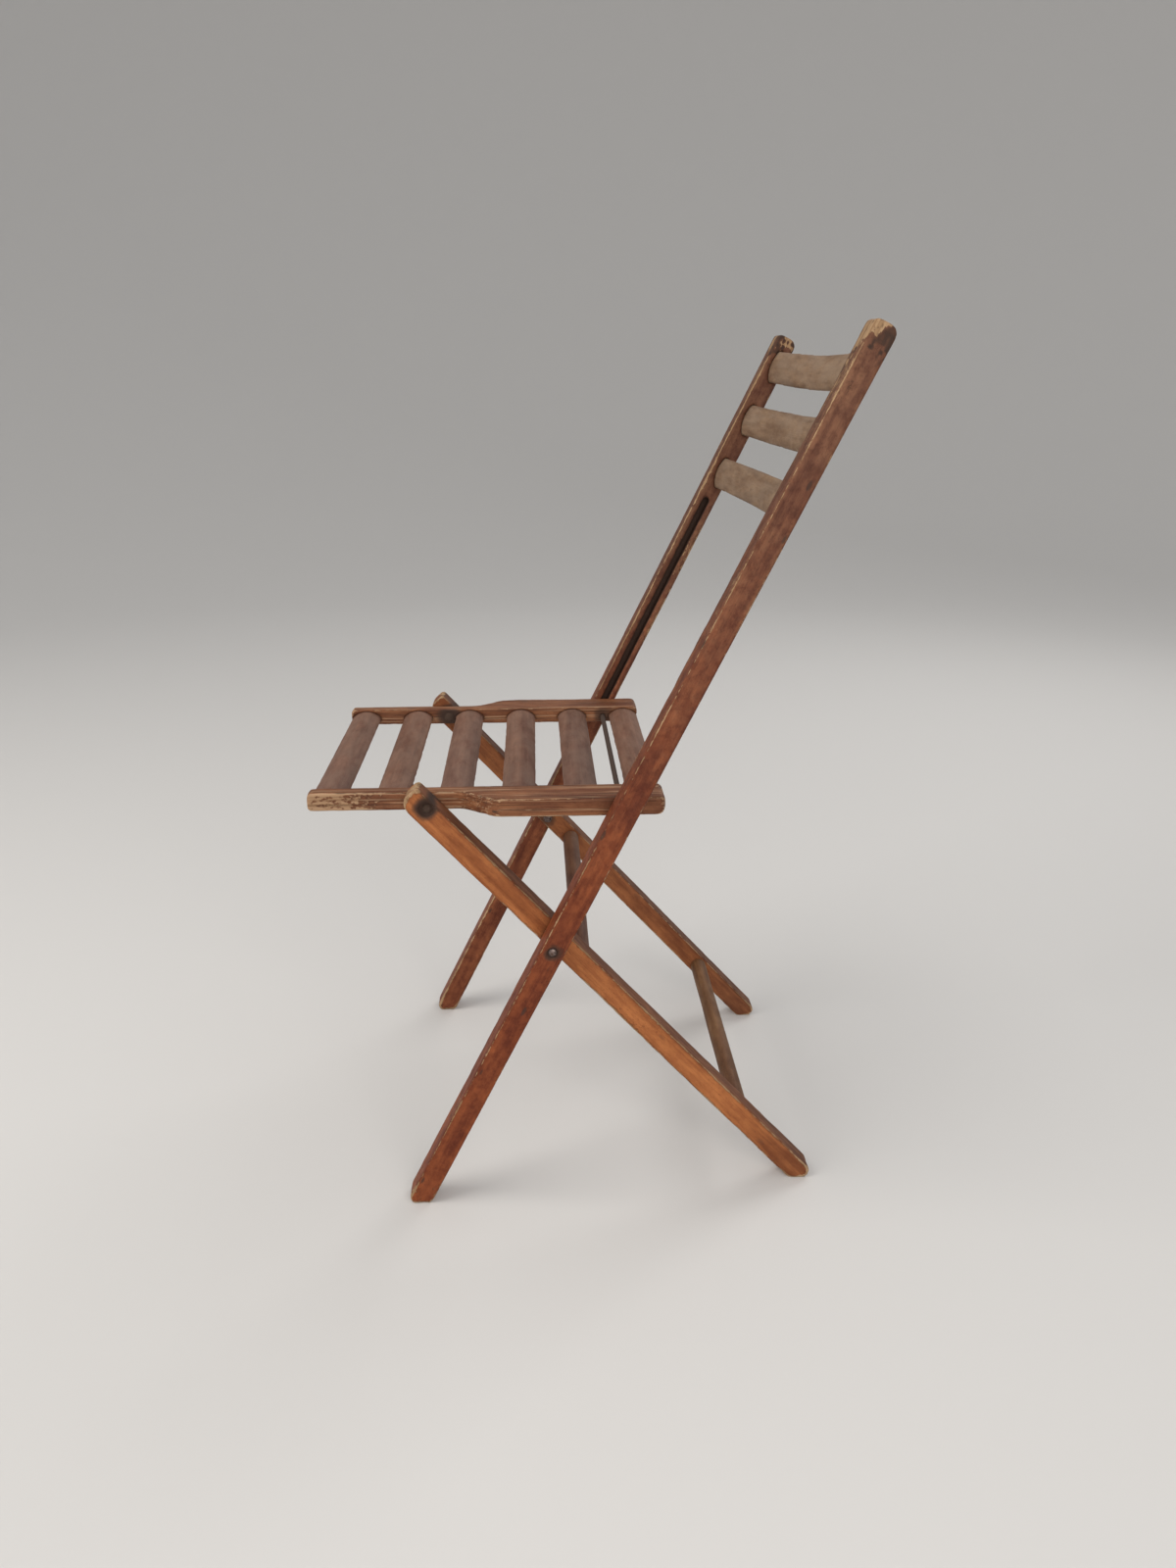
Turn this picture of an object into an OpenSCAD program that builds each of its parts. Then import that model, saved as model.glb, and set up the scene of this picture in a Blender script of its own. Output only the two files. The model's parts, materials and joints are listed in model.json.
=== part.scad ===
// Wooden folding chair with a slatted seat and a bowed, slatted back.
// Two long posts form the front feet and the back, and a frame of two shorter legs crosses
// them and carries the front of the seat. A steel rod through the seat rails runs in a blind
// groove in each post, so the seat lifts and lies flat between the posts as the legs close.
// +X is the sitter's left, the front faces -Y, and the feet stand on z = 0.

/* [Linkage] */
// Height of the cross pivot, where posts and legs are riveted together
cross_h = 274.5; // [272:0.5:278]
// Lean of the posts back from the vertical, in degrees
post_lean = 25.75; // [25:0.25:27]
// Lean of the legs forward from the vertical, in degrees
leg_lean = 42.7; // [42:0.1:43.5]
// Distance from the cross pivot to the seat pivot, along the leg
cross_to_seat = 174; // [173:0.5:175]
// Distance from the seat pivot to the sliding rod, along the rail
seat_to_rod = 176.8; // [176:0.1:178]
// How far the seat pivot stands behind a line through the cross pivot along the leg
seat_hole_back = 6.35; // [5:0.05:7.5]
// How far the rod lies below the middle of the rail
rod_drop = 2.2; // [1.5:0.1:3]

/* [Posts] */
// Width over the outer faces of the posts
chair_w = 400; // [380:1:420]
// Thickness of a post across the chair
post_t = 25; // [23:0.5:27]
// Depth of a post in the side view
post_d = 22.6; // [21:0.1:25]
// Length of a post above the cross pivot
post_top = 604; // [596:1:612]
// Width of the blind groove that guides the rod
groove_w = 7.4; // [7.2:0.1:8]
// Depth of the groove into the post
groove_depth = 9; // [7:0.5:12]
// Distance of the groove's upper end from the cross pivot
groove_top = 413; // [395:1:420]

/* [Legs] */
// Thickness of a leg across the chair
leg_t = 23.6; // [22:0.1:25]
// Depth of a leg in the side view
leg_d = 23; // [22:0.5:26]
// Length of a leg above the cross pivot
leg_top = 195; // [192:1:198]
// Distance of the leg's centre line behind the cross pivot
leg_centre_back = 3.4; // [2.5:0.1:4]
// Diameter of the two dowels that join the legs
dowel_dia = 18.5; // [15:0.5:19]
// Distance of the upper dowel below the cross pivot
upper_dowel_low = 37.5; // [34:0.5:44]
// Distance of the lower dowel below the cross pivot
lower_dowel_low = 277; // [240:1:282]
// Side clearance between neighbouring frames
side_gap = 1.2; // [1.1:0.1:1.6]

/* [Seat] */
// Height of a seat rail
rail_h = 17.7; // [17:0.1:20]
// Thickness of a rail at the front, beside the leg
rail_front_t = 15; // [14:0.5:15]
// Thickness of a rail behind the leg
rail_rear_t = 39; // [37:0.5:39]
// Length of a rail in front of the seat pivot
rail_front = 111; // [108:1:114]
// Length of a rail behind the seat pivot
rail_rear = 217; // [215:1:222]
// Diameter of the sliding rod
rod_dia = 5.2; // [5:0.1:5.4]
// Number of seat slats
seat_slats = 6; // [6:1:6]
// Width of a seat slat
seat_slat_w = 32.5; // [30:0.5:33]
// Thickness of a seat slat at its crown
seat_slat_t = 11.5; // [10:0.5:12]
// Distance of the first slat's centre in front of the seat pivot
slat_first = 93.5; // [92:0.5:95]
// Distance between the slats' centres
slat_pitch = 58.7; // [58:0.1:59]

/* [Back slats] */
// Width of a back slat
back_slat_w = 34; // [30:0.5:38]
// Thickness of a back slat at its crown
back_slat_t = 9.5; // [8:0.5:11]
// Distance the back slats bow rearwards
back_bow = 20; // [10:1:24]
// Distance of the bottom slat's centre above the cross pivot, along the post
back_slat_low = 446.5; // [444:0.5:450]
// Distance of the middle slat's centre above the cross pivot
back_slat_mid = 509.5; // [504:0.5:514]
// Distance of the top slat's centre above the cross pivot
back_slat_high = 571; // [566:0.5:573]
// Forward tilt of the slats against the posts, in degrees
back_slat_tilt = 7; // [0:1:10]
// Depth of the slats' crown behind the posts' front faces
back_slat_in = 7.6; // [6:0.1:9]

/* [Hardware] */
// Diameter of the rivets at the pivots
rivet_dia = 6; // [5:0.5:7]
// Diameter of the spacing washers
washer_dia = 16; // [14:0.5:18]
// Diameter of the wire brads that pin the tenons
brad_dia = 1.8; // [1.4:0.1:2]

/* [Hidden] */

$fn = 48;
running = 0.06;      // radial clearance of a rivet in the hole it turns in
slack = 0.1;         // clearance round a glued tenon
over = 1;            // how far a cutting shape reaches past the face it cuts
rivet_r = rivet_dia / 2;
rod_r = rod_dia / 2;
brad_r = brad_dia / 2;
dowel_r = dowel_dia / 2;

// Faces across the chair, from the outside in, on the +X side
post_out = chair_w / 2;
post_in = post_out - post_t;
leg_out = post_in - side_gap;
leg_in = leg_out - leg_t;
rail_thin_out = leg_in - side_gap;
rail_in = rail_thin_out - rail_front_t;
rail_out = rail_in + rail_rear_t;

// The linkage: the legs turn through fold_angle and the seat through almost the same angle
// the other way, which keeps the rod on the line of the grooves.
pivot_lean = leg_lean - asin(seat_hole_back / cross_to_seat);
fold_angle = post_lean + pivot_lean;
rod_angle = asin(cross_to_seat * sin(fold_angle) / seat_to_rod);
rod_up = cross_to_seat * cos(fold_angle) + seat_to_rod * cos(rod_angle);
seat_tilt = 90 - post_lean - rod_angle + asin(rod_drop / seat_to_rod);
rod_back = sqrt(pow(seat_to_rod, 2) - pow(rod_drop, 2));
seat_hole_up = sqrt(pow(cross_to_seat, 2) - pow(seat_hole_back, 2));

// Grooves: the rod stops just short of the lower end
end_gap = 0.3;
groove_r = groove_w / 2;
groove_low = rod_up + groove_r - rod_r - end_gap;
rod_half = post_in + groove_depth - 1;

// Notch that gives the leg room beside the rail
notch_start = 26;
notch_end = 68;

// Tenon depths
slat_tenon = 10;
back_tenon = 12;
dowel_tenon = 12;
dowel_tenon_r = 7;   // radius of the dowels' turned-down tenons

// Recesses and heads of the rivets
cup_r = 6;
cup_deep = 2.6;
bore_r = 7;
bore_deep = 4;
head_r = 4.2;
head_h = 1.8;
cup_washer_t = 0.6;
burr_r = 5;
burr_t = 0.9;
peen_r = 3.9;
peen_h = 1.4;
brad_len = 15;

// Corner radii in the side view: front and rear of the foot, then rear and front of the top
post_corners = [6, 8, 9, 5];
leg_corners = [6, 7.5, 4, 11];
rail_corners = [4, 7, 5, 4];

// Height of the back slats' crown above their edges
back_crown = 4;
back_slat_at = [back_slat_low, back_slat_mid, back_slat_high];
dowel_low = [upper_dowel_low, lower_dowel_low];

// ---- Outlines ---------------------------------------------------------------------------

// Points of an outline whose corners are rounded with the radii in rr
function rounded(pts, rr, steps = 6) = let(n = len(pts)) [
    for (i = [0 : n - 1])
        let(p = pts[i], a = pts[(i + n - 1) % n] - p, b = pts[(i + 1) % n] - p)
        let(ua = a / norm(a), ub = b / norm(b), half = acos(ua * ub) / 2)
        let(mid = (ua + ub) / norm(ua + ub), c = p + mid * rr[i] / sin(half))
        let(s = p + ua * rr[i] / tan(half) - c, e = p + ub * rr[i] / tan(half) - c)
        let(from = atan2(s.y, s.x), turn = atan2(s.x * e.y - s.y * e.x, s * e))
        for (k = [0 : steps]) c + rr[i] * [cos(from + turn * k / steps), sin(from + turn * k / steps)]
];

// Crowned section: flat below, straight edges of height edge, and an arc on top
function crowned(w, t, edge, steps = 12) =
    let(rise = t - edge, r = (w * w / 4 + rise * rise) / (2 * rise), half = asin(w / 2 / r)) concat(
        [[-w / 2 + 1.5, 0], [w / 2 - 1.5, 0], [w / 2, 1.5]],
        [for (k = [0 : steps]) let(a = half - 2 * half * k / steps) [r * sin(a), t - r + r * cos(a)]],
        [[-w / 2, 1.5]]);

// Height on the floor plane of a member that leans back by lean, at the distance y behind its pivot
function floor_at(y, lean) = (y * sin(lean) - cross_h) / cos(lean);

// Position along Y of a point in the side view of a member that leans back by lean
function along_y(p, lean) = p.x * cos(lean) + p.y * sin(lean);

post_line = rounded(
    [[-post_d / 2, floor_at(-post_d / 2, post_lean)], [post_d / 2, floor_at(post_d / 2, post_lean)],
     [post_d / 2, post_top], [-post_d / 2, post_top]], post_corners);
leg_front = leg_centre_back - leg_d / 2;
leg_rear = leg_centre_back + leg_d / 2;
leg_line = rounded(
    [[leg_front, floor_at(leg_front, -leg_lean)], [leg_rear, floor_at(leg_rear, -leg_lean)],
     [leg_rear, leg_top], [leg_front, leg_top]], leg_corners);
rail_line = rounded(
    [[-rail_front, -rail_h / 2], [rail_rear, -rail_h / 2], [rail_rear, rail_h / 2],
     [-rail_front, rail_h / 2]], rail_corners);

// The seat pivot as seen from the cross pivot
seat_from_cross = cross_to_seat * [-sin(pivot_lean), cos(pivot_lean)];

// Side view, in the post's frame, of the top slat at the middle of its bow
top_slat_line = [
    for (q = crowned(back_slat_w, back_slat_t, back_slat_t - back_crown))
        let(y = back_bow + back_slat_t - q.y)
        [back_slat_in - post_d / 2 + y * cos(back_slat_tilt) - q.x * sin(back_slat_tilt),
         back_slat_at[2] + y * sin(back_slat_tilt) + q.x * cos(back_slat_tilt)]];

// The whole chair is centred on Y = 0, between the rails' front end and the top slat's bow
front_y = seat_from_cross.x + min([for (p = rail_line) along_y(p, -seat_tilt)]);
rear_y = max([for (p = concat(post_line, top_slat_line)) along_y(p, post_lean)]);
cross_y = -(front_y + rear_y) / 2;

// ---- Frames of the members ----------------------------------------------------------------

// Extrudes a side view (Y to the right, Z up) from x0 to x1
module across(x0, x1) {
    translate([x0, 0, 0]) rotate([90, 0, 90]) linear_extrude(x1 - x0) children();
}

// A round bar along X, from x0 to x1
module bar(x0, x1, r) {
    translate([x0, 0, 0]) rotate([0, 90, 0]) cylinder(h = x1 - x0, r = r);
}

// A body turned about X from a half outline [distance from the axis, x]
module turned(points) {
    rotate([0, 90, 0]) rotate_extrude() polygon(points);
}

module in_post() {
    translate([0, cross_y, cross_h]) rotate([-post_lean, 0, 0]) children();
}

module in_leg() {
    translate([0, cross_y, cross_h]) rotate([leg_lean, 0, 0]) children();
}

module in_seat() {
    translate([0, cross_y + seat_from_cross.x, cross_h + seat_from_cross.y])
        rotate([seat_tilt, 0, 0]) children();
}

module both_sides() {
    children();
    mirror([1, 0, 0]) children();
}

// ---- Back frame ---------------------------------------------------------------------------

// One bowed slat in its own frame, its crown to the front, grown by g for a mortise
module bowed_slat(half_len, g = 0) {
    bow_r = (pow(post_in, 2) + pow(back_bow, 2)) / (2 * back_bow);
    half_angle = asin(half_len / bow_r) + 1;
    translate([0, back_bow - bow_r, 0]) intersection() {
        rotate([0, 0, 90 - half_angle]) rotate_extrude(angle = 2 * half_angle, $fn = 720)
            translate([bow_r + back_slat_t + g, 0]) rotate(90)
                polygon(crowned(back_slat_w + 2 * g, back_slat_t + 2 * g, back_slat_t - back_crown + 2 * g));
        translate([-half_len, 0, -back_slat_w]) cube([2 * half_len, 2 * bow_r, 2 * back_slat_w]);
    }
}

module placed_back_slat(at, half_len, g = 0) {
    translate([0, back_slat_in - post_d / 2, at]) rotate([back_slat_tilt, 0, 0])
        bowed_slat(half_len, g);
}

module slat_brads() {
    for (at = back_slat_at)
        translate([post_in + back_tenon / 2, post_d / 2, at]) rotate([90, 0, 0])
            cylinder(h = brad_len, r = brad_r);
}

module post() {
    in_post() difference() {
        across(post_in, post_out) polygon(post_line);
        for (at = back_slat_at)
            placed_back_slat(at, post_in + back_tenon + slack, slack);
        translate([0, 0, groove_low]) bar(post_in - over, post_in + groove_depth, groove_r);
        translate([0, 0, groove_top]) bar(post_in - over, post_in + groove_depth, groove_r);
        translate([post_in - over, -groove_r, groove_low])
            cube([groove_depth + over, groove_w, groove_top - groove_low]);
        bar(post_in - over, post_out, rivet_r);
        bar(post_out - cup_deep, post_out + over, cup_r);
        slat_brads();
    }
}

module left_post() { color("#7b4331") post(); }
module right_post() { color("#7b4331") mirror([1, 0, 0]) post(); }

module back_slat(at) {
    color("#8a7563") in_post() difference() {
        placed_back_slat(at, post_in + back_tenon);
        both_sides() slat_brads();
    }
}

module back_slat_bottom() { back_slat(back_slat_at[0]); }
module back_slat_middle() { back_slat(back_slat_at[1]); }
module back_slat_top() { back_slat(back_slat_at[2]); }

// ---- Leg frame ----------------------------------------------------------------------------

module leg_brads() {
    for (low = dowel_low)
        translate([leg_in + dowel_tenon / 2, leg_rear, -low]) rotate([90, 0, 0])
            cylinder(h = brad_len, r = brad_r);
}

module leg() {
    in_leg() difference() {
        across(leg_in, leg_out) polygon(leg_line);
        bar(leg_in - over, leg_out + over, rivet_r + running);
        translate([0, seat_hole_back, seat_hole_up]) {
            bar(leg_in - over, leg_out, rivet_r);
            bar(leg_out - bore_deep, leg_out + over, bore_r);
        }
        for (low = dowel_low)
            translate([0, leg_centre_back, -low]) bar(leg_in - over, leg_in + dowel_tenon, dowel_tenon_r);
        leg_brads();
    }
}

module left_leg() { color("#9c5c2e") leg(); }
module right_leg() { color("#7d4526") mirror([1, 0, 0]) leg(); }

module dowel(low) {
    color("#6b5238") in_leg() difference() {
        translate([0, leg_centre_back, -low]) turned([
            [0, -leg_in - dowel_tenon], [dowel_tenon_r, -leg_in - dowel_tenon],
            [dowel_tenon_r, -leg_in], [dowel_r, -leg_in], [dowel_r, leg_in],
            [dowel_tenon_r, leg_in], [dowel_tenon_r, leg_in + dowel_tenon], [0, leg_in + dowel_tenon]]);
        both_sides() leg_brads();
    }
}

module upper_dowel() { dowel(dowel_low[0]); }
module lower_dowel() { dowel(dowel_low[1]); }

// ---- Seat frame ---------------------------------------------------------------------------

slat_edge = 4;
slat_top_drop = 2;      // depth of the slats' crown below the top of the rails
slat_floor = rail_h / 2 - slat_top_drop - seat_slat_t;

function slat_y(i) = i * slat_pitch - slat_first;

module seat_slat_solid(i, half_len, g = 0) {
    translate([0, slat_y(i), slat_floor - g]) across(-half_len, half_len)
        polygon(crowned(seat_slat_w + 2 * g, seat_slat_t + 2 * g, slat_edge + 2 * g));
}

// Plan of a rail: thin beside the leg, then full width behind a smooth shoulder
rail_plan = concat(
    [[rail_in, -rail_front - over], [rail_thin_out, -rail_front - over]],
    [for (k = [0 : 12]) let(t = k / 12)
        [rail_thin_out + (rail_out - rail_thin_out) * (1 - cos(180 * t)) / 2,
         notch_start + (notch_end - notch_start) * t]],
    [for (k = [0 : 6]) [rail_out - 6 + 6 * cos(15 * k), rail_rear - 6 + 6 * sin(15 * k)]],
    [[rail_in, rail_rear]]);

module rail_brads() {
    for (i = [0 : seat_slats - 1])
        translate([rail_in + slat_tenon / 2, slat_y(i), -rail_h / 2]) cylinder(h = brad_len, r = brad_r);
}

module rail() {
    in_seat() difference() {
        intersection() {
            across(rail_in, rail_out) polygon(rail_line);
            translate([0, 0, -rail_h]) linear_extrude(2 * rail_h) polygon(rail_plan);
        }
        bar(rail_in - over, rail_out + over, rivet_r + running);
        translate([0, rod_back, -rod_drop]) bar(rail_in - over, rail_out + over, rod_r);
        for (i = [0 : seat_slats - 1])
            seat_slat_solid(i, rail_in + slat_tenon + slack, slack);
        rail_brads();
    }
}

module left_rail() { color("#7a5130") rail(); }
module right_rail() { color("#7a5130") mirror([1, 0, 0]) rail(); }

module seat_slat(i) {
    color("#6f5549") in_seat() difference() {
        seat_slat_solid(i, rail_in + slat_tenon);
        both_sides() rail_brads();
    }
}

module slide_rod() {
    bevel = 0.8;
    color("#5b5650") in_seat() translate([0, rod_back, -rod_drop])
        turned([[0, -rod_half], [rod_r - bevel, -rod_half], [rod_r, -rod_half + bevel],
                [rod_r, rod_half - bevel], [rod_r - bevel, rod_half], [0, rod_half]]);
}

// ---- Hardware -----------------------------------------------------------------------------

// Domed rivet along X: a shank from x0, peened over at its inner end, and a head that starts at x1
module rivet(x0, x1) {
    turned(concat(
        [[0, x0 - peen_h]],
        [for (a = [15 : 15 : 90]) [peen_r * sin(a), x0 - peen_h * cos(a)]],
        [[rivet_r, x0], [rivet_r, x1], [head_r, x1]],
        [for (a = [75 : -15 : 15]) [head_r * sin(a), x1 + head_h * cos(a)]],
        [[0, x1 + head_h]]));
}

// Flat ring along X
module ring(x0, x1, r, hole) {
    difference() {
        bar(x0, x1, r);
        bar(x0 - over, x1 + over, hole);
    }
}

module cross_rivet() {
    in_post() rivet(leg_in - burr_t - slack, post_out - cup_deep + cup_washer_t);
}

module seat_rivet() {
    in_leg() translate([0, seat_hole_back, seat_hole_up])
        rivet(rail_in - burr_t - slack, leg_out - bore_deep);
}

module left_cross_rivet() { color("silver") cross_rivet(); }
module right_cross_rivet() { color("silver") mirror([1, 0, 0]) cross_rivet(); }
module left_seat_rivet() { color("silver") seat_rivet(); }
module right_seat_rivet() { color("silver") mirror([1, 0, 0]) seat_rivet(); }

module cross_cup_washers() {
    color("dimgray") both_sides() in_post()
        ring(post_out - cup_deep, post_out - cup_deep + cup_washer_t, cup_r - slack, rivet_r);
}

module cross_spacers() {
    color("dimgray") both_sides() in_post()
        ring(leg_out + 2 * slack, post_in, washer_dia / 2, rivet_r);
}

module cross_burrs() {
    color("gray") both_sides() in_post()
        ring(leg_in - burr_t - slack, leg_in - slack, burr_r, rivet_r);
}

module seat_spacers() {
    color("dimgray") both_sides() in_leg() translate([0, seat_hole_back, seat_hole_up])
        ring(rail_thin_out + 2 * slack, leg_in, washer_dia / 2, rivet_r);
}

module seat_burrs() {
    color("gray") both_sides() in_leg() translate([0, seat_hole_back, seat_hole_up])
        ring(rail_in - burr_t - slack, rail_in - slack, burr_r, rivet_r);
}

module back_slat_brads() { color("gray") in_post() both_sides() slat_brads(); }
module seat_slat_brads() { color("gray") in_seat() both_sides() rail_brads(); }
module dowel_brads() { color("gray") in_leg() both_sides() leg_brads(); }

left_post();
right_post();
back_slat_bottom();
back_slat_middle();
back_slat_top();
left_leg();
right_leg();
upper_dowel();
lower_dowel();
left_rail();
right_rail();
seat_slat(0);  // seat_slat_1
seat_slat(1);  // seat_slat_2
seat_slat(2);  // seat_slat_3
seat_slat(3);  // seat_slat_4
seat_slat(4);  // seat_slat_5
seat_slat(5);  // seat_slat_6
slide_rod();
left_cross_rivet();
right_cross_rivet();
left_seat_rivet();
right_seat_rivet();
cross_cup_washers();
cross_spacers();
cross_burrs();
seat_spacers();
seat_burrs();
back_slat_brads();
seat_slat_brads();
dowel_brads();
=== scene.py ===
"""Looks of the wooden folding chair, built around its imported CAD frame. Lengths are in metres."""
import itertools
import json
import math

import bpy
import numpy as np
from mathutils import Euler, Matrix, Vector
from mathutils.bvhtree import BVHTree


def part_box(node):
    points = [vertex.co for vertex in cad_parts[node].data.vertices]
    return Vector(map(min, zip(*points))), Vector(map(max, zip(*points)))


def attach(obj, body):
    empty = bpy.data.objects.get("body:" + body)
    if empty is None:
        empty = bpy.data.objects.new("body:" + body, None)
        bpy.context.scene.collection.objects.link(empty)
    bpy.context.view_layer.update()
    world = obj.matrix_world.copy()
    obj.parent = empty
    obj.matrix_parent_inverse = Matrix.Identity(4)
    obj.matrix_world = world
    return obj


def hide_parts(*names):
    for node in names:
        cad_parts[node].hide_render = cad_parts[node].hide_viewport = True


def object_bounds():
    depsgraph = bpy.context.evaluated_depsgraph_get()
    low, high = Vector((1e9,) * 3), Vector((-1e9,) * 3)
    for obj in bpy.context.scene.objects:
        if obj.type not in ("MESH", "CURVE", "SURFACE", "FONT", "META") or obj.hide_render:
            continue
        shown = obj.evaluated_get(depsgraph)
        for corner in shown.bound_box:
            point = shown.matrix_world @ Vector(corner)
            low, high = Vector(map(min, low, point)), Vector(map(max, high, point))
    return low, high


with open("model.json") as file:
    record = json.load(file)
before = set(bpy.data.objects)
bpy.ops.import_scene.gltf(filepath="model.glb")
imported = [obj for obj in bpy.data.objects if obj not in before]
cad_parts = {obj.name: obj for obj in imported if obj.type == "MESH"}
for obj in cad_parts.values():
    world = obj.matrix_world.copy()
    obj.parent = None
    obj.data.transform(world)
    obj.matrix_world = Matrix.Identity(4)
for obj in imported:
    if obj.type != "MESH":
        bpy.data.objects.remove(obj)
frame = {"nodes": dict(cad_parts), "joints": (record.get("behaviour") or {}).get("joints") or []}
cad_low, cad_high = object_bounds()
mm = 0.001
scene = bpy.context.scene
joints = {joint["name"]: joint for joint in frame["joints"]}
cross_pivot = np.array(joints["leg_fold"]["pos_m"])
seat_pivot = np.array(joints["seat_fold"]["pos_m"])


# ---- Stage, light and camera ------------------------------------------------------------------

FLOOR_COLOR = (0.62, 0.60, 0.575)
FLOOR_ROUGHNESS = 0.7
SKY_COLOR = (0.95, 0.97, 1.0)
SKY_STRENGTH = 0.62
# Place, diameter, power and colour of each lamp. All of them aim at the middle of the chair.
LAMPS = {
    "key": ((0.8, -2.4, 2.3), 2.2, 60, (1.0, 0.98, 0.95)),
    "fill": ((2.6, 0.6, 1.35), 2.0, 38, (1.0, 0.98, 0.96)),
    "back": ((-1.8, 1.6, 2.2), 1.6, 22, (1.0, 1.0, 1.0)),
}
CAMERA_PLACE = (1.1602, -0.0426, 0.7744)
CAMERA_PITCH = math.radians(19.19)
CAMERA_YAW = math.radians(2.625)
CAMERA_ROLL = math.radians(0.52)
CAMERA_LENS = 26.7          # in millimetres, as is the width of the sensor
CAMERA_SENSOR = 36
CAMERA_NEAR = 0.05


def plain_material(name, color, roughness):
    material = bpy.data.materials.new(name)
    material.use_nodes = True
    shader = material.node_tree.nodes["Principled BSDF"]
    shader.inputs["Base Color"].default_value = (*color, 1)
    shader.inputs["Roughness"].default_value = roughness
    return material


def make_floor(flat=3.2, bend=4.5, top=6.0, seam=0.02, sectors=96, steps=24):
    """A round floor, flat out to the radius flat, that bends up into a plain wall all round.

    The narrow ring seam is level, which keeps the shading even where the bend begins.
    """
    profile = [(flat - seam, 0.0), (flat, 0.0)]
    for k in range(1, steps + 1):
        turn = math.pi / 2 * k / steps
        profile.append((flat + bend * math.sin(turn), bend * (1 - math.cos(turn))))
    profile.append((flat + bend, top))
    corners = []
    for radius, height in profile:
        for k in range(sectors):
            turn = math.tau * k / sectors
            corners.append((radius * math.cos(turn), radius * math.sin(turn), height))
    faces = [tuple(range(sectors))]
    for ring in range(len(profile) - 1):
        for k in range(sectors):
            here, there = ring * sectors + k, ring * sectors + (k + 1) % sectors
            faces.append((here, there, there + sectors, here + sectors))
    mesh = bpy.data.meshes.new("floor")
    mesh.from_pydata(corners, [], faces)
    mesh.polygons.foreach_set("use_smooth", [False] + [True] * (len(faces) - 1))
    mesh.materials.append(plain_material("floor", FLOOR_COLOR, FLOOR_ROUGHNESS))
    floor = bpy.data.objects.new("floor", mesh)
    scene.collection.objects.link(floor)


def make_light():
    world = bpy.data.worlds.new("studio")
    scene.world = world
    world.use_nodes = True
    background = world.node_tree.nodes["Background"]
    background.inputs["Color"].default_value = (*SKY_COLOR, 1)
    background.inputs["Strength"].default_value = SKY_STRENGTH
    middle = Vector((cad_low + cad_high) / 2)
    for name, (place, diameter, power, color) in LAMPS.items():
        data = bpy.data.lights.new(name, "AREA")
        data.shape = "DISK"
        data.size = diameter
        data.energy = power
        data.color = color
        lamp = bpy.data.objects.new(name, data)
        lamp.location = place
        lamp.rotation_euler = (middle - Vector(place)).to_track_quat("-Z", "Y").to_euler()
        scene.collection.objects.link(lamp)


def make_camera():
    """A camera on the sitter's left that looks across the chair and down at it."""
    data = bpy.data.cameras.new("camera")
    data.sensor_width = CAMERA_SENSOR
    data.lens = CAMERA_LENS
    data.clip_start = CAMERA_NEAR
    camera = bpy.data.objects.new("camera", data)
    camera.location = CAMERA_PLACE
    level = Euler((math.pi / 2, 0, math.pi / 2 - CAMERA_YAW)).to_matrix()
    tilt = Matrix.Rotation(CAMERA_ROLL, 3, "Z") @ Matrix.Rotation(-CAMERA_PITCH, 3, "X")
    camera.rotation_euler = (level @ tilt).to_euler()
    scene.collection.objects.link(camera)
    scene.camera = camera


make_floor()
make_light()
make_camera()
scene.view_settings.view_transform = "Standard"


# ---- Random fields ----------------------------------------------------------------------------

TABLE_SIDE = 24


class Lumps:
    """A smooth random field over points, from -1 to 1, whose lumps are size across."""

    def __init__(self, seed, size):
        table_shape = (TABLE_SIDE, TABLE_SIDE, TABLE_SIDE)
        self.table = np.random.default_rng(seed).uniform(-1, 1, table_shape)
        self.size = np.array(size, float)

    def __call__(self, points):
        cell = points / self.size
        low = np.floor(cell).astype(int)
        part = cell - low
        part = part * part * (3 - 2 * part)
        total = np.zeros(len(points))
        for corner in itertools.product((0, 1), repeat=3):
            weight = np.prod(np.where(corner, part, 1 - part), axis=1)
            total += weight * self.table[tuple(((low + corner) % TABLE_SIDE).T)]
        return total


def smooth_step(low, high, value):
    """0 at low and 1 at high, level beyond them. low may be the greater."""
    t = np.clip((value - low) / (high - low), 0, 1)
    return t * t * (3 - 2 * t)


# ---- Weathered pieces, worked up from the CAD solids --------------------------------------------

# Columns of points in a member's own axes, and of points in the chair's
ALONG, ACROSS, THROUGH = 0, 1, 2
X, Z = 0, 2
CHAIR_AXES = np.eye(3)

LONG_EDGE = 50 * mm         # only edges longer than this tell a member's direction
SHADOW_REACH = 4 * mm       # how near another node is felt, which keeps a face from wear
SOFTEN_ROUNDS = 2           # rounds of relaxing that soften the edges
SHARPNESS_ROUNDS = 7        # rounds of relaxing that tell edges from faces
WAVINESS = 0.25 * mm        # how far the faces stray from flat
KNOCK_DEPTH = 0.7 * mm      # how deep the edges are knocked
DENT_SHARE = 0.35           # how deep the faces are dented, as a share of KNOCK_DEPTH
PIECE_VOXEL = 1.6 * mm
DOWEL_VOXEL = 1.3 * mm


def vertices_of(mesh):
    points = np.empty(len(mesh.vertices) * 3, np.float32)
    mesh.vertices.foreach_get("co", points)
    return points.reshape(-1, 3).astype(float)


def edges_of(mesh):
    ends = np.empty(len(mesh.edges) * 2, np.int32)
    mesh.edges.foreach_get("vertices", ends)
    return ends.reshape(-1, 2)


def normals_of(mesh):
    normals = np.empty(len(mesh.vertices) * 3, np.float32)
    mesh.vertex_normals.foreach_get("vector", normals)
    return normals.reshape(-1, 3).astype(float)


def set_vertices(mesh, points):
    mesh.vertices.foreach_set("co", points.astype(np.float32).ravel())
    mesh.update()


def box_of(node):
    low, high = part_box(node)
    return np.array(low), np.array(high)


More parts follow.
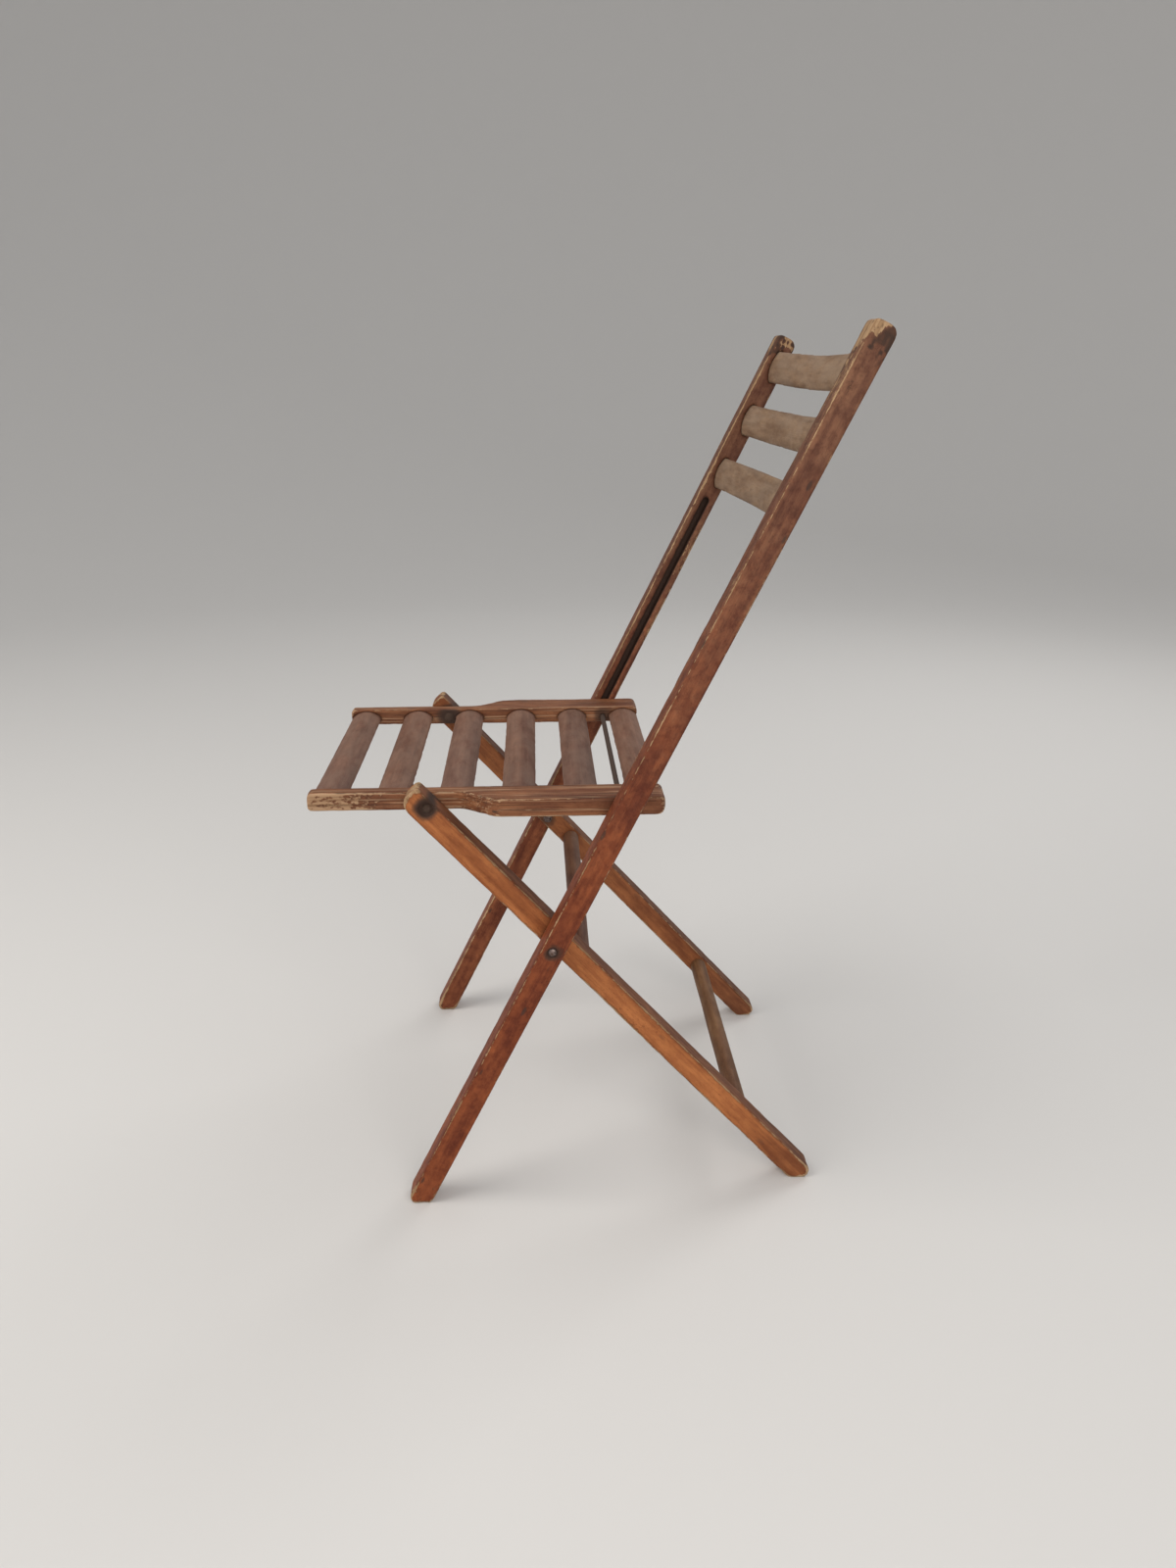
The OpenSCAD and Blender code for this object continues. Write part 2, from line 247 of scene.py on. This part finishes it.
def member_axes(node):
    """Rows are a member's own axes: along its grain, across the chair, and square to both."""
    mesh = frame["nodes"][node].data
    points, ends = vertices_of(mesh), edges_of(mesh)
    run = points[ends[:, 1]] - points[ends[:, 0]]
    length = np.linalg.norm(run, axis=1)
    ways = (run / length[:, None])[length > LONG_EDGE]
    rearward_and_up = (0, 0.5, 1.0)
    ways *= np.where(ways @ rearward_and_up < 0, -1, 1)[:, None]
    kinds, counts = np.unique(np.round(ways, 3), axis=0, return_counts=True)
    along = kinds[np.argmax(counts)]
    along /= np.linalg.norm(along)
    across = np.array((1.0, 0, 0))
    return np.array([along, across, np.cross(along, across)])


def remeshed(node, axes, voxel):
    """A dense even mesh of a CAD node, in the member's own axes."""
    source = frame["nodes"][node].data.copy()
    set_vertices(source, vertices_of(source) @ axes.T)
    holder = bpy.data.objects.new("holder", source)
    scene.collection.objects.link(holder)
    remesh = holder.modifiers.new("remesh", "REMESH")
    remesh.mode = "VOXEL"
    remesh.voxel_size = voxel
    graph = bpy.context.evaluated_depsgraph_get()
    mesh = bpy.data.meshes.new_from_object(holder.evaluated_get(graph))
    bpy.data.objects.remove(holder)
    return mesh


def relaxed(points, ends, rounds):
    """Each point drawn halfway to its neighbours' mean, rounds times, which rounds edges."""
    count = np.bincount(ends.ravel(), minlength=len(points))[:, None]
    for _ in range(rounds):
        total = np.zeros_like(points)
        for k in range(3):
            total[:, k] = np.bincount(ends[:, 0], points[ends[:, 1], k], len(points))
            total[:, k] += np.bincount(ends[:, 1], points[ends[:, 0], k], len(points))
        points = points + 0.5 * (total / count - points)
    return points


def joint_shadow(points, node):
    """1 where a point touches another CAD node, falling to 0 at SHADOW_REACH."""
    reach = SHADOW_REACH
    shade = np.zeros(len(points))
    low, high = points.min(0) - reach, points.max(0) + reach
    for other, other_object in frame["nodes"].items():
        if other == node or "brads" in other:
            continue
        other_low, other_high = box_of(other)
        if (other_high < low).any() or (other_low > high).any():
            continue
        near = ((points > other_low - reach) & (points < other_high + reach)).all(axis=1)
        mesh = other_object.data
        corners = [vertex.co for vertex in mesh.vertices]
        tree = BVHTree.FromPolygons(corners, [face.vertices for face in mesh.polygons])
        for i in np.flatnonzero(near):
            place, _, _, distance = tree.find_nearest(Vector(points[i]), reach)
            if place is not None:
                shade[i] = max(shade[i], 1 - distance / reach)
    return shade


def put_attribute(mesh, name, values, kind="FLOAT", field="value"):
    attribute = mesh.attributes.new(name, kind, "POINT")
    attribute.data.foreach_set(field, np.asarray(values, np.float32).ravel())


def weathered(node, body, material, axes, marks, seed, voxel=PIECE_VOXEL, shape=None):
    """Replaces a CAD node by a dense copy with rounded, knocked edges and slightly uneven faces.

    local is in the member's own axes and points in the chair's. shape(local) returns moved local
    points. marks(local, points, edge) returns the attributes bare, tone, and one for stains and
    painted shade.
    """
    mesh = remeshed(node, axes, voxel)
    local = vertices_of(mesh)
    ends = edges_of(mesh)
    low, high = local.min(0), local.max(0)
    if shape:
        local = shape(local)

    # Edges are rounded, though not in the joints
    shade = joint_shadow(local @ axes, node)
    tight = smooth_step(0.35, 0.8, shade)[:, None]
    local = relaxed(local, ends, SOFTEN_ROUNDS) * (1 - tight) + local * tight
    bulge = (local - relaxed(local, ends, SHARPNESS_ROUNDS)) * normals_of(mesh)
    edge = smooth_step(0.06, 0.5, bulge.sum(axis=1) / voxel)
    set_vertices(mesh, local)

    # Faces are made uneven, and edges are knocked in, inside the bounds of the CAD node
    offset = np.random.default_rng(seed).uniform(-5, 5, 3)
    coarse = Lumps(seed + 1, (60 * mm, 14 * mm, 14 * mm))(local)
    knocks = Lumps(seed + 2, (9 * mm, 5 * mm, 5 * mm))(local)
    dents = Lumps(seed + 3, (22 * mm, 9 * mm, 9 * mm))(local)
    sink = WAVINESS * coarse - KNOCK_DEPTH * edge * smooth_step(-0.1, 0.7, knocks)
    sink -= DENT_SHARE * KNOCK_DEPTH * smooth_step(0.55, 0.85, dents)
    local = local + normals_of(mesh) * (sink * (1 - shade))[:, None]
    local = np.clip(local, low, high)
    points = np.clip(local @ axes, *box_of(node))
    set_vertices(mesh, points)

    # What the material reads: offset gives each piece its own part of the grain
    put_attribute(mesh, "grain", local + offset, "FLOAT_VECTOR", "vector")
    put_attribute(mesh, "edge", edge * (1 - smooth_step(0.1, 0.5, shade)))
    # Near another node the colour is darkened: painted shade in the joint, with some dirt
    put_attribute(mesh, "joint_shade_and_dirt", smooth_step(0.25, 0.95, shade))
    for name, values in marks(local, points, edge).items():
        put_attribute(mesh, name, values)
    mesh.polygons.foreach_set("use_smooth", np.ones(len(mesh.polygons), bool))
    mesh.materials.clear()
    mesh.materials.append(material)
    mesh.name = node + "_worn"
    piece = bpy.data.objects.new(node + "_worn", mesh)
    scene.collection.objects.link(piece)
    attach(piece, body)
    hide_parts(node)


# ---- Materials ----------------------------------------------------------------------------------

class Shader:
    """A material under construction: short calls that add nodes and link them."""

    def __init__(self, name):
        self.material = bpy.data.materials.new(name)
        self.material.use_nodes = True
        self.tree = self.material.node_tree
        self.out = self.tree.nodes["Principled BSDF"]

    def feed(self, socket, value):
        if isinstance(value, bpy.types.NodeSocket):
            self.tree.links.new(value, socket)
        elif hasattr(value, "__len__") and len(value) == 3 and socket.type == "RGBA":
            socket.default_value = (*value, 1)
        else:
            socket.default_value = value

    def add(self, kind, output=0, **inputs):
        node = self.tree.nodes.new(kind)
        for name, value in inputs.items():
            self.feed(node.inputs[name], value)
        return node.outputs[output]

    def attribute(self, name, output="Fac"):
        node = self.tree.nodes.new("ShaderNodeAttribute")
        node.attribute_name = name
        return node.outputs[output]

    def math(self, operation, a, b=0.0, clamp=False):
        node = self.tree.nodes.new("ShaderNodeMath")
        node.operation = operation
        node.use_clamp = clamp
        self.feed(node.inputs[0], a)
        self.feed(node.inputs[1], b)
        return node.outputs[0]

    def times(self, a, b):
        return self.math("MULTIPLY", a, b)

    def plus(self, a, b, clamp=False):
        return self.math("ADD", a, b, clamp)

    def minus(self, a, b, clamp=False):
        return self.math("SUBTRACT", a, b, clamp)

    def stretched(self, vector, scale):
        node = self.tree.nodes.new("ShaderNodeVectorMath")
        node.operation = "MULTIPLY"
        self.feed(node.inputs[0], vector)
        node.inputs[1].default_value = scale
        return node.outputs[0]

    def noise(self, vector, scale, detail, roughness, distortion=0.0):
        """Noise with about scale lumps to the metre along each axis."""
        return self.add("ShaderNodeTexNoise", Vector=self.stretched(vector, scale), Scale=1.0,
                        Detail=detail, Roughness=roughness, Distortion=distortion)

    def steps(self, value, low, high):
        """0 at low and 1 at high, smooth between and level beyond."""
        node = self.tree.nodes.new("ShaderNodeMapRange")
        node.interpolation_type = "SMOOTHSTEP"
        node.inputs["From Min"].default_value = low
        node.inputs["From Max"].default_value = high
        self.feed(node.inputs["Value"], value)
        return node.outputs[0]

    def mix(self, share, a, b, blend="MIX"):
        factor, first, second, result = 0, 6, 7, 2      # a colour mix's sockets
        node = self.tree.nodes.new("ShaderNodeMix")
        node.data_type = "RGBA"
        node.blend_type = blend
        self.feed(node.inputs[factor], share)
        self.feed(node.inputs[first], a)
        self.feed(node.inputs[second], b)
        return node.outputs[result]

    def scaled(self, color, factors):
        return self.mix(1.0, color, factors, "MULTIPLY")

    def toned(self, share, color, factors):
        """color, multiplied by factors where share is 1."""
        return self.mix(share, color, self.scaled(color, factors))

    def bump(self, height, distance, strength):
        return self.add("ShaderNodeBump", Height=height, Distance=distance, Strength=strength)


def old_wood(name, first, second, raw, grime_and_shade=(0.046, 0.024, 0.016), streak=0.4,
             roughness=0.47, wear=0.72, mottling=0.55, bloom=0.0, bloom_color=None, lines=0.0,
             relief=0.7, cloud=(48, 150, 150), knots=0.75):
    """Varnished beech, worn through to raw wood.

    first and second are (dark, light) varnish tones, and the attribute tone runs from one to the
    other. streak, mottling, bloom, lines and knots are the strengths of dark pores, clouds, a dry
    film, long open grain and dark specks. cloud is the scale of the clouds. wear is how far edges
    are worn through, relief the strength of the bump, and roughness the least there is.
    """
    s = Shader(name)
    grain = s.attribute("grain", "Vector")
    edge, joint_shade_and_dirt = s.attribute("edge"), s.attribute("joint_shade_and_dirt")
    bare, stain, tone = s.attribute("bare"), s.attribute("stain"), s.attribute("tone")
    fine = s.noise(grain, (16, 1000, 1000), 5, 0.62)
    streaks = s.noise(grain, (6, 240, 240), 6, 0.6, 0.35)
    figure = s.noise(grain, (4, 48, 48), 3, 0.5, 1.3)
    flecks = s.steps(s.noise(grain, (330, 1500, 1500), 2, 0.5), 0.60, 0.68)
    mottle = s.noise(grain, cloud, 7, 0.68)
    blotch = s.noise(grain, (15, 40, 40), 5, 0.62)
    chips = s.noise(grain, (170, 330, 330), 6, 0.7)

    # Varnish
    depth = s.plus(s.times(figure, 0.4), s.times(streaks, 0.25))
    depth = s.steps(s.plus(depth, s.times(blotch, 0.35)), 0.38, 0.62)
    varnish = s.mix(tone, s.mix(depth, *first), s.mix(depth, *second))
    dark_mottle = s.times(s.steps(mottle, 0.46, 0.62), mottling)
    varnish = s.toned(dark_mottle, varnish, (0.66, 0.56, 0.54))
    light_mottle = s.times(s.steps(mottle, 0.50, 0.36), 0.7 * mottling)
    varnish = s.toned(light_mottle, varnish, (1.3, 1.36, 1.3))
    varnish = s.toned(s.times(s.steps(fine, 0.5, 0.72), streak), varnish, (0.5, 0.46, 0.44))
    varnish = s.toned(s.times(flecks, 0.45), varnish, (0.4, 0.36, 0.36))
    if bloom:
        dry = s.steps(s.noise(grain, (20, 60, 60), 5, 0.65), 0.35, 0.65)
        varnish = s.mix(s.times(dry, bloom), varnish, bloom_color)

    # Raw wood, a dark rim round it, and the height of both
    wood = s.mix(s.steps(streaks, 0.35, 0.65), s.scaled(raw, (0.62, 0.56, 0.5)), raw)
    wood = s.toned(s.times(s.steps(fine, 0.52, 0.7), 0.6), wood, (0.45, 0.38, 0.33))
    ragged = s.times(s.minus(chips, 0.5), 1.8)
    patchy = s.times(s.minus(blotch, 0.5), 1.5)
    worn = s.plus(s.plus(s.plus(s.times(edge, wear), bare), ragged), patchy)
    through = s.steps(worn, 0.52, 0.62)
    rim = s.minus(s.steps(worn, 0.34, 0.48), through, clamp=True)
    color = s.toned(s.times(rim, 0.6), varnish, (0.38, 0.3, 0.28))
    color = s.mix(through, color, wood)
    height = s.plus(s.times(fine, -0.5), s.times(streaks, 0.35))
    height = s.plus(height, s.times(through, -0.45))
    height = s.plus(height, s.times(flecks, -0.25))

    # Open grain, specks, and darkening from dirt, stains and painted shade
    if lines:
        pale = s.minus(s.noise(grain, (2.2, 150, 240), 3, 0.5, 0.2), 0.53)
        pale = s.steps(s.math("ABSOLUTE", pale), 0.022, 0.006)
        dark = s.minus(s.noise(grain, (1.8, 120, 300), 3, 0.5, 0.2), 0.47)
        dark = s.steps(s.math("ABSOLUTE", dark), 0.016, 0.004)
        color = s.mix(s.times(pale, lines), color, raw)
        color = s.mix(s.times(dark, lines), color, (0.03, 0.016, 0.01))
        height = s.plus(height, s.times(dark, -1.2))
    specks = s.add("ShaderNodeTexVoronoi", Vector=s.stretched(grain, (20, 60, 60)), Scale=1.0)
    color = s.mix(s.times(s.steps(specks, 0.13, 0.085), knots), color, grime_and_shade)
    # Stains and dirt, and painted shade in joints, grooves and on back slats' lower edges, darken
    # the colour towards one dark brown
    soaked_and_shaded = s.times(stain, s.steps(s.plus(mottle, stain), 0.45, 1.0))
    dirt_and_shade = s.plus(soaked_and_shaded, s.times(joint_shade_and_dirt, 0.16), clamp=True)
    s.feed(s.out.inputs["Base Color"], s.mix(dirt_and_shade, color, grime_and_shade))

    rough = s.plus(s.times(mottle, 0.22), roughness)
    rough = s.plus(rough, s.times(through, 0.2))
    s.feed(s.out.inputs["Roughness"], s.plus(rough, s.times(dirt_and_shade, 0.15), clamp=True))
    s.feed(s.out.inputs["Normal"], s.bump(height, distance=0.35 * mm, strength=relief))
    s.out.inputs["Specular IOR Level"].default_value = 0.22
    return s.material


def old_steel(name, dark, bright, rust, rust_share, roughness):
    """Tarnished steel with pitting, polished patches and rust."""
    s = Shader(name)
    place = s.add("ShaderNodeTexCoord", "Object")
    pits = s.noise(place, (900, 900, 900), 5, 0.65)
    patches = s.noise(place, (160, 160, 160), 4, 0.6)
    rust_field = s.noise(place, (240, 240, 240), 6, 0.7)
    rusty = s.steps(rust_field, 0.72 - rust_share, 0.86 - rust_share)
    metal = s.mix(s.steps(patches, 0.38, 0.62), dark, bright)
    s.feed(s.out.inputs["Base Color"], s.mix(rusty, metal, rust))
    s.feed(s.out.inputs["Metallic"], s.minus(1.0, rusty, clamp=True))
    rough = s.plus(s.times(pits, 0.25), s.times(rusty, 0.4))
    s.feed(s.out.inputs["Roughness"], s.plus(rough, roughness, clamp=True))
    s.feed(s.out.inputs["Normal"], s.bump(pits, distance=0.12 * mm, strength=0.6))
    return s.material


post_wood = old_wood(
    "post_wood",
    first=((0.125, 0.025, 0.008), (0.245, 0.062, 0.019)),
    second=((0.105, 0.036, 0.018), (0.200, 0.088, 0.045)),
    raw=(0.40, 0.255, 0.14), mottling=0.75, streak=0.28, wear=0.76, cloud=(85, 115, 115))
leg_wood = old_wood(
    "leg_wood",
    first=((0.23, 0.066, 0.018), (0.41, 0.142, 0.044)),
    second=((0.105, 0.034, 0.014), (0.215, 0.076, 0.030)),
    raw=(0.40, 0.26, 0.145), mottling=0.5, wear=0.86, knots=0.25)
rail_wood = old_wood(
    "rail_wood",
    first=((0.14, 0.047, 0.019), (0.25, 0.098, 0.042)),
    second=((0.115, 0.037, 0.016), (0.20, 0.076, 0.033)),
    raw=(0.42, 0.26, 0.15), mottling=0.5, lines=0.65)
seat_slat_wood = old_wood(
    "seat_slat_wood",
    first=((0.125, 0.054, 0.032), (0.205, 0.098, 0.060)),
    second=((0.110, 0.055, 0.038), (0.175, 0.090, 0.062)),
    raw=(0.30, 0.18, 0.11), wear=0.3, roughness=0.52, mottling=0.35, streak=0.55, relief=0.4,
    bloom=0.3, bloom_color=(0.22, 0.145, 0.105), knots=0.2)
back_slat_wood = old_wood(
    "back_slat_wood",
    first=((0.145, 0.083, 0.048), (0.245, 0.153, 0.094)),
    second=((0.175, 0.097, 0.049), (0.290, 0.180, 0.098)),
    raw=(0.34, 0.23, 0.15), wear=0.3, roughness=0.54, mottling=0.35, relief=0.3,
    bloom=0.4, bloom_color=(0.27, 0.200, 0.145), knots=0.15)
dowel_wood = old_wood(
    "dowel_wood",
    first=((0.115, 0.050, 0.020), (0.21, 0.103, 0.045)),
    second=((0.085, 0.033, 0.018), (0.155, 0.067, 0.038)),
    raw=(0.34, 0.21, 0.11), wear=0.4, mottling=0.4, knots=0.3)
dark_steel = old_steel(
    "dark_steel", dark=(0.040, 0.027, 0.020), bright=(0.085, 0.062, 0.048),
    rust=(0.050, 0.028, 0.018), rust_share=0.50, roughness=0.55)
rivet_steel = old_steel(
    "rivet_steel", dark=(0.07, 0.05, 0.045), bright=(0.20, 0.15, 0.135),
    rust=(0.075, 0.035, 0.022), rust_share=0.22, roughness=0.34)


# ---- Marks of use, and painted shade ------------------------------------------------------------
# post_marks, leg_marks, rail_marks and slat_marks return marks(local, points, edge) for
# weathered. In what that returns, bare is wood without varnish, stain is dark dirt and painted
# shade, and tone runs from a material's first tones, at 0, to its second ones, at 1. The THROUGH
# axis of a post or leg points to the rear.

STAIN_SEED = 7
STAIN_RIM = 3 * mm          # how far a stain's rim strays
FOOT_WEAR = 32 * mm         # how far up the feet are worn
stain_lumps = Lumps(STAIN_SEED, (8 * mm, 8 * mm, 8 * mm))

# The painted shade in a post's blind groove. GROOVE_STRETCH is where it starts and stops, measured
# up from the cross pivot. The others are pairs, where the shade is gone and where it is full: to
# each side of the post's centre line, and at the groove's floor and mouth, inwards from the outer
# face.
GROOVE_STRETCH = (150 * mm, 430 * mm)
GROOVE_SIDE = (5.2 * mm, 4.2 * mm)
GROOVE_FLOOR = (12 * mm, 15 * mm)
GROOVE_MOUTH = (24.6 * mm, 23.6 * mm)


def round_stain(points, centre, inner, outer):
    """1 near the axis through centre across the chair, 0 from about outer on, with an uneven rim."""
    away = np.linalg.norm(points[:, 1:] - centre[1:], axis=1)
    return 1 - smooth_step(inner, outer, away - STAIN_RIM * stain_lumps(points))


def foot_marks(from_foot, rough, edge):
    """Bare wood at a foot, most of all on its edges."""
    return smooth_step(FOOT_WEAR, 3 * mm, from_foot) * (0.1 + 0.3 * rough + 0.9 * edge)


def groove_painted_shade(points, axes, from_outer):
    """1 on the faces inside a post's groove, for painted shade. from_outer is how far in from its
    outer face.
    """
    from_pivot = points - cross_pivot
    up = from_pivot @ axes[ALONG]
    beside = np.abs(from_pivot @ axes[THROUGH])
    stain = smooth_step(*GROOVE_SIDE, beside) * smooth_step(*GROOVE_MOUTH, from_outer)
    stain = stain * smooth_step(*GROOVE_FLOOR, from_outer)
    return stain * (up > GROOVE_STRETCH[0]) * (up < GROOVE_STRETCH[1])


def post_marks(seed, axes, flaked):
    """A post's marks. flaked is 1 for the post whose pale top keeps dark flakes of varnish."""
    patches = Lumps(seed, (14 * mm, 7 * mm, 7 * mm))
    crumbs = Lumps(seed + 1, (3.6 * mm, 2.4 * mm, 2.4 * mm))

    def marks(local, points, edge):
        low, high = local.min(0), local.max(0)
        from_foot = local[:, ALONG] - low[ALONG]
        from_top = high[ALONG] - local[:, ALONG]
        from_front = local[:, THROUGH] - low[THROUGH]
        height = from_foot / (high - low)[ALONG]
        back = from_front / (high - low)[THROUGH]
        x = points[:, X]
        from_outer = np.abs(x).max() - np.sign(x.mean()) * x
        from_middle = np.abs(x - (x.min() + x.max()) / 2)
        outer = smooth_step(2 * mm, 0.5 * mm, from_outer)
        fine = crumbs(local)
        rough = 0.55 * patches(local) + 0.75 * fine

        # The front face is painted paler: rubbed bare wood, and a painted highlight where the light
        # falls on it
        front = smooth_step(2.5 * mm, 0.5 * mm, from_front)
        rubbed_and_lit = front * (0.20 + 0.15 * smooth_step(0.5, 0.9, height))
        scuffs = 0.55 * smooth_step(0.45, 0.75, fine) * outer
        scuffs = scuffs * smooth_step(110 * mm, 30 * mm, from_foot)
        pale = 0.85 + 0.3 * rough - (0.3 + 0.95 * outer) * back - from_top / (25 * mm)
        flakes = smooth_step(4 * mm, 7.5 * mm, from_middle) * smooth_step(-0.25, 0.0, rough)
        pale_top = smooth_step(-0.03, 0.04, pale) * (1 - flaked * flakes)
        burnt = smooth_step(0, 3 * mm, 21 * mm + 14 * mm * rough - from_top) * (1 - pale_top)
        freckles = smooth_step(0.42, 0.6, fine) * smooth_step(80 * mm, 25 * mm, from_top)
        # Painted shade inside the groove, kept free of bare wood and added to the stains
        groove = groove_painted_shade(points, axes, from_outer)
        stain = 0.8 * round_stain(points, cross_pivot, 5 * mm, 11 * mm)
        for other in (burnt * (0.75 + 0.5 * fine), 0.55 * freckles, groove):
            stain = np.maximum(stain, other)
        bare = rubbed_and_lit + scuffs + pale_top + foot_marks(from_foot, rough, edge) - burnt - groove
        tone = smooth_step(0.35, 0.95, height + 0.08 * rough) + 0.3 * flaked
        return {"bare": bare, "stain": stain, "tone": np.clip(tone, 0, 1)}
    return marks


def leg_marks(seed, tone):
    """A leg's marks. Its rear face is stained, and nearer the second tones."""
    patches = Lumps(seed, (26 * mm, 9 * mm, 9 * mm))

    def marks(local, points, edge):
        low, high = local.min(0), local.max(0)
        from_foot = local[:, ALONG] - low[ALONG]
        from_top = high[ALONG] - local[:, ALONG]
        rough = patches(local)
        rear = smooth_step(2.0 * mm, 0.2 * mm, high[THROUGH] - local[:, THROUGH])
        top = smooth_step(7 * mm, 1 * mm, from_top)
        bare = 0.05 * rear + top * (0.5 + 0.4 * rough) + foot_marks(from_foot, rough, edge)
        stain = np.maximum(round_stain(points, seat_pivot, 6.5 * mm, 14 * mm),
                           0.6 * round_stain(points, cross_pivot, 8 * mm, 16 * mm))
        stain = np.maximum(stain, 0.3 * rear * (1 - edge))
        foot_tone = 0.35 * smooth_step(110 * mm, 20 * mm, from_foot)
        return {"bare": bare, "stain": stain,
                "tone": np.clip(tone + 0.75 * rear + foot_tone, 0, 1)}
    return marks


def rail_marks(seed):
    """A rail's marks, with bare wood on the outside of its thin front and dirt on its inside."""
    patches = Lumps(seed, (30 * mm, 8 * mm, 8 * mm))
    front_thickness = 15 * mm
    rod = sum(box_of("slide_rod")) / 2

    def marks(local, points, edge):
        low, high = local.min(0), local.max(0)
        from_front = local[:, ALONG] - low[ALONG]
        from_rear = high[ALONG] - local[:, ALONG]
        rough = patches(local)
        outward = np.sign(points[:, X]) * local[:, ACROSS]
        from_inner = outward - outward.min()
        outer = smooth_step(4 * mm, 0.5 * mm, outward.max() - outward)
        scraped = smooth_step(90 * mm, 50 * mm, from_front)
        scraped = scraped * smooth_step(3 * mm, 0.5 * mm, np.abs(from_inner - front_thickness))
        ends = smooth_step(5 * mm, 1 * mm, np.minimum(from_front, from_rear))
        stain = np.maximum(round_stain(points, seat_pivot, 8 * mm, 20 * mm),
                           0.8 * round_stain(points, rod, 6 * mm, 16 * mm))
        return {"bare": 0.68 * scraped + 0.12 * outer + ends * (0.3 + 0.4 * rough),
                "stain": stain * smooth_step(2 * mm, 0.5 * mm, from_inner),
                "tone": smooth_step(-0.3, 0.6, rough)}
    return marks


def slat_marks(seed, tone, painted_lower_shade=0.0):
    """Marks of a slat or dowel. Its last argument is how strong the painted shade along its lower
    edge is.
    """
    patches = Lumps(seed, (40 * mm, 14 * mm, 14 * mm))

    def marks(local, points, edge):
        rough = patches(local)
        run = local[:, X] / np.abs(local[:, X]).max()
        height = (local[:, Z] - local[:, Z].min()) / np.ptp(local[:, Z])
        dirt_and_shade = 0.15 * smooth_step(0.72, 1.0, np.abs(run))
        # Painted shade: darker towards the slat's lower edge
        dirt_and_shade = dirt_and_shade + painted_lower_shade * smooth_step(0.35, 0.02, height)
        return {"bare": -0.1 + 0.12 * rough, "stain": dirt_and_shade * (0.6 + 0.4 * rough),
                "tone": np.clip(tone + 0.25 * rough + 0.35 * run, 0, 1)}
    return marks


# ---- Pieces ---------------------------------------------------------------------------------------

def barrelled(local, narrowing=0.02):
    """Narrows a slat slightly towards its two ends."""
    half = np.abs(local[:, X]).max()
    share = 1 - narrowing * smooth_step(0.45, 1.0, np.abs(local[:, X]) / half)
    middle = (local[:, Z].min() + local[:, Z].max()) / 2
    shaped = local.copy()
    shaped[:, Z] = middle + (local[:, Z] - middle) * share
    return shaped


for number, (side, flaked, leg_tone) in enumerate((("left", 0, 0.05), ("right", 1, 0.55))):
    post, leg, rail = side + "_post", side + "_leg", side + "_rail"
    post_axes = member_axes(post)
    weathered(post, "back_frame", post_wood, post_axes,
              post_marks(100 + number, post_axes, flaked), seed=10 + number)
    weathered(leg, "leg_frame", leg_wood, member_axes(leg),
              leg_marks(110 + number, leg_tone), seed=20 + number)
    weathered(rail, "seat_frame", rail_wood, member_axes(rail),
              rail_marks(120 + number), seed=30 + number)

for number in range(1, 7):
    weathered(f"seat_slat_{number}", "seat_frame", seat_slat_wood, CHAIR_AXES,
              slat_marks(130 + number, tone=0.5 * (number % 2)), seed=40 + number)

for number, place in enumerate(("bottom", "middle", "top")):
    # The back slats get painted shade along their lower edges
    weathered("back_slat_" + place, "back_frame", back_slat_wood, CHAIR_AXES,
              slat_marks(140 + number, tone=0.45, painted_lower_shade=0.3), seed=50 + number, shape=barrelled)

for number, (place, tone) in enumerate((("upper", 0.9), ("lower", 0.1))):
    weathered(place + "_dowel", "leg_frame", dowel_wood, CHAIR_AXES,
              slat_marks(150 + number, tone=tone), seed=60 + number, voxel=DOWEL_VOXEL)

for node, cad in frame["nodes"].items():
    if cad.hide_render:
        continue
    bright = "cross_rivet" in node or "cross_burrs" in node
    cad.data.materials.clear()
    cad.data.materials.append(rivet_steel if bright else dark_steel)
